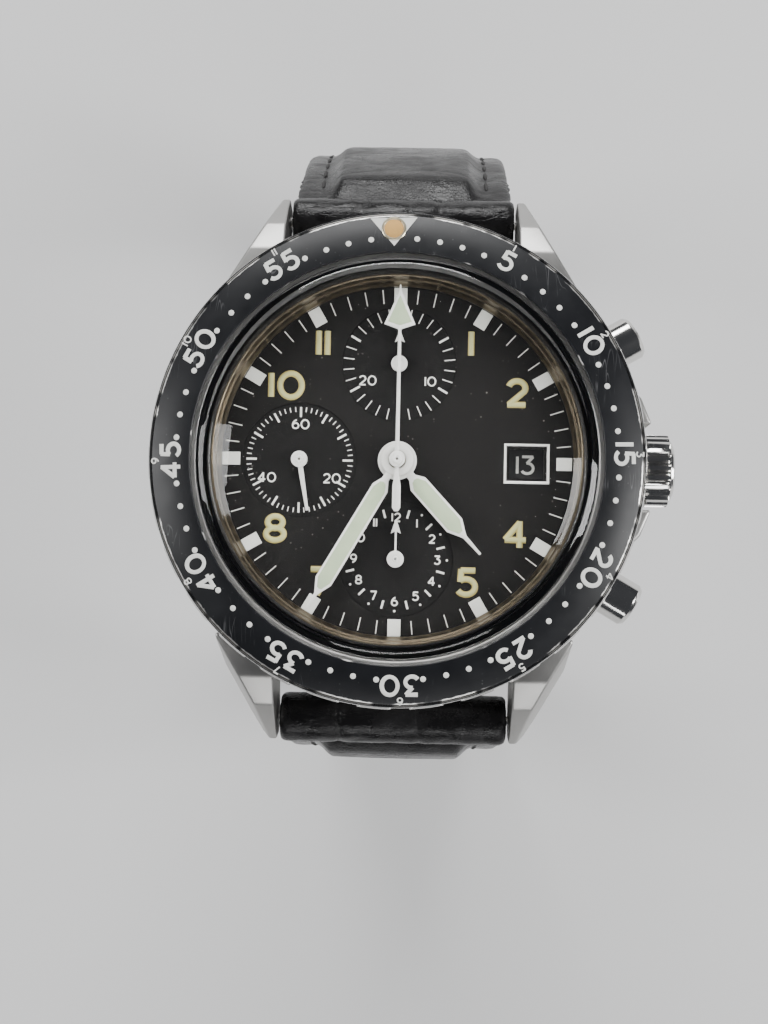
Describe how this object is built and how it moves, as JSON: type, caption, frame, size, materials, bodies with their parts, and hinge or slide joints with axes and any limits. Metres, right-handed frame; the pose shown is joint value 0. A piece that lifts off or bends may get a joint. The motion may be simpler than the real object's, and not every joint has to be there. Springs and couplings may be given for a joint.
{
  "type": "chronograph wristwatch",
  "caption": "Self-winding chronograph wristwatch with a turning bezel, domed crystal, three sub-dials, pump buttons and a buckled black leather strap.",
  "frame": {"origin": "on the flat underside of the strap's fixed keeper, straight below the dial's centre", "axes": "+Z out of the dial, +Y towards 12 o'clock, +X towards the crown"},
  "size_m": [0.0441, 0.0609, 0.0635],
  "materials": {
    "case_steel": "polished stainless steel with fine wear marks",
    "works_steel": "plain machined steel",
    "bezel_black": "black anodised aluminium, scratched",
    "lume": "aged tan luminous paint",
    "acrylic": "clear domed acrylic",
    "gilt_ring": "pale gilt metal ring",
    "rubber": "black rubber or plastic",
    "dial_black": "matte black painted brass",
    "hand_white": "white lacquered hand with luminous paint",
    "works_brass": "plain brass",
    "blued_steel": "blued spring steel",
    "strap_leather": "worn black padded leather"
  },
  "bodies": {
    "case": {"balance_cock": "works_brass", "bezel_click_spring": "works_steel", "bezel_retaining_wire": "works_steel", "buckle_frame": "case_steel", "buckle_spring_bar": "case_steel", "buckle_tongue": "case_steel", "case_back": "case_steel", "case_back_gasket": "rubber", "chronograph_bridge": "works_brass", "crown_tube": "works_steel", "crystal": "acrylic", "dial": "dial_black", "fixed_keeper": "strap_leather", "hairspring": "blued_steel", "main_plate": "works_brass", "mid_case": "case_steel", "movement_holder": "rubber", "pusher_reset_spring": "works_steel", "pusher_reset_tube": "works_steel", "pusher_start_spring": "works_steel", "pusher_start_tube": "works_steel", "rotor_hub": "works_steel", "spring_bar_12": "case_steel", "spring_bar_6": "case_steel", "strap_long_half": "strap_leather", "strap_short_half": "strap_leather", "tension_ring": "gilt_ring", "train_bridge": "works_brass"},
    "bezel": {"bezel_ring": "case_steel", "bezel_insert": "bezel_black", "bezel_pip": "lume"},
    "crown_slide": {"setting_lever": "works_steel"},
    "crown_and_stem": {"crown": "case_steel", "winding_stem": "works_steel"},
    "start_button": {"pusher_start": "case_steel"},
    "reset_button": {"pusher_reset": "case_steel"},
    "minute_hand_group": {"minute_hand": "hand_white", "cannon_pinion": "works_brass"},
    "hour_hand_group": {"hour_hand": "hand_white", "hour_wheel": "works_brass"},
    "minute_wheel_group": {"minute_wheel": "works_brass"},
    "chronograph_group": {"chronograph_seconds_hand": "hand_white", "chronograph_runner": "works_brass"},
    "minute_counter_group": {"minute_counter_hand": "hand_white", "minute_counter_arbor": "works_steel"},
    "hour_counter_group": {"hour_counter_hand": "hand_white", "hour_counter_arbor": "works_steel"},
    "running_seconds_group": {"running_seconds_hand": "hand_white", "fourth_wheel": "works_brass"},
    "third_wheel_group": {"third_wheel": "works_brass"},
    "centre_wheel_group": {"centre_wheel": "works_brass"},
    "barrel_group": {"mainspring_barrel": "works_brass"},
    "escape_wheel_group": {"escape_wheel": "works_brass"},
    "pallet_group": {"pallet_fork": "works_steel"},
    "balance_group": {"balance_wheel": "works_brass"},
    "rotor_group": {"winding_rotor": "works_steel"},
    "date_group": {"date_ring": "dial_black"},
    "loose_keeper_group": {"loose_keeper": "strap_leather"}
  },
  "joints": [
    {"name": "bezel_turn", "type": "hinge", "parent": "case", "child": "bezel", "pos_m": [0, 0, 0.058], "axis": [0, 0, -1], "continuous": true},
    {"name": "crown_pull", "type": "slide", "parent": "case", "child": "crown_slide", "axis": [1, 0, 0], "range_m": [0, 0.0016]},
    {"name": "crown_turn", "type": "hinge", "parent": "crown_slide", "child": "crown_and_stem", "pos_m": [0, 0, 0.053], "axis": [1, 0, 0], "continuous": true},
    {"name": "start_press", "type": "slide", "parent": "case", "child": "start_button", "axis": [-0.866, -0.5, 0], "range_m": [0, 0.0008], "stiffness_N_per_m": 1200, "springref_m": -0.0008, "deforming": ["pusher_start_spring"]},
    {"name": "reset_press", "type": "slide", "parent": "case", "child": "reset_button", "axis": [-0.866, 0.5, 0], "range_m": [0, 0.0008], "stiffness_N_per_m": 1200, "springref_m": -0.0008, "deforming": ["pusher_reset_spring"]},
    {"name": "minute_hand_turn", "type": "hinge", "parent": "case", "child": "minute_hand_group", "pos_m": [0, 0, 0.058], "axis": [0, 0, -1], "continuous": true},
    {"name": "hour_hand_turn", "type": "hinge", "parent": "case", "child": "hour_hand_group", "pos_m": [0, 0, 0.0576], "axis": [0, 0, -1], "continuous": true},
    {"name": "minute_wheel_turn", "type": "hinge", "parent": "case", "child": "minute_wheel_group", "pos_m": [0.00277, -0.00277, 0.0555], "axis": [0, 0, -1], "continuous": true},
    {"name": "chronograph_seconds_turn", "type": "hinge", "parent": "case", "child": "chronograph_group", "pos_m": [0, 0, 0.0588], "axis": [0, 0, -1], "continuous": true},
    {"name": "minute_counter_turn", "type": "hinge", "parent": "case", "child": "minute_counter_group", "pos_m": [0, 0.0082, 0.0571], "axis": [0, 0, -1], "continuous": true},
    {"name": "hour_counter_turn", "type": "hinge", "parent": "case", "child": "hour_counter_group", "pos_m": [0, -0.0082, 0.0571], "axis": [0, 0, -1], "continuous": true},
    {"name": "running_seconds_turn", "type": "hinge", "parent": "case", "child": "running_seconds_group", "pos_m": [-0.0082, 0, 0.0571], "axis": [0, 0, -1], "continuous": true},
    {"name": "third_wheel_turn", "type": "hinge", "parent": "case", "child": "third_wheel_group", "pos_m": [-0.00446, -0.00271, 0.0525], "axis": [0, 0, -1], "continuous": true},
    {"name": "centre_wheel_turn", "type": "hinge", "parent": "case", "child": "centre_wheel_group", "pos_m": [0, 0, 0.052], "axis": [0, 0, -1], "continuous": true},
    {"name": "barrel_turn", "type": "hinge", "parent": "case", "child": "barrel_group", "pos_m": [0.00377, 0.0045, 0.0525], "axis": [0, 0, -1], "continuous": true},
    {"name": "escape_wheel_turn", "type": "hinge", "parent": "case", "child": "escape_wheel_group", "pos_m": [-0.01011, 0.0041, 0.0533], "axis": [0, 0, -1], "continuous": true},
    {"name": "pallet_rock", "type": "hinge", "parent": "case", "child": "pallet_group", "pos_m": [-0.0084, 0.0075, 0.0533], "axis": [0, 0, -1], "range_deg": [-5, 5]},
    {"name": "balance_swing", "type": "hinge", "parent": "case", "child": "balance_group", "pos_m": [-0.0034, 0.0097, 0.052], "axis": [0, 0, -1], "range_deg": [-270, 270], "deforming": ["hairspring"]},
    {"name": "rotor_turn", "type": "hinge", "parent": "case", "child": "rotor_group", "pos_m": [0, 0, 0.0498], "axis": [0, 0, -1], "continuous": true},
    {"name": "date_turn", "type": "hinge", "parent": "case", "child": "date_group", "pos_m": [0, 0, 0.0555], "axis": [0, 0, -1], "continuous": true},
    {"name": "loose_keeper_slide", "type": "slide", "parent": "case", "child": "loose_keeper_group", "axis": [0, 1, 0], "range_m": [-0.003, 0.0025]}
  ],
  "couplings": [
    {"joint": "hour_hand_turn", "follows": "minute_hand_turn", "ratio": 0.083333},
    {"joint": "minute_wheel_turn", "follows": "minute_hand_turn", "ratio": -0.33333},
    {"joint": "minute_counter_turn", "follows": "chronograph_seconds_turn", "ratio": 0.033333},
    {"joint": "hour_counter_turn", "follows": "chronograph_seconds_turn", "ratio": 0.0013889},
    {"joint": "third_wheel_turn", "follows": "running_seconds_turn", "ratio": -0.125},
    {"joint": "centre_wheel_turn", "follows": "running_seconds_turn", "ratio": 0.016667},
    {"joint": "barrel_turn", "follows": "running_seconds_turn", "ratio": -0.0025},
    {"joint": "escape_wheel_turn", "follows": "running_seconds_turn", "ratio": -10}
  ]
}
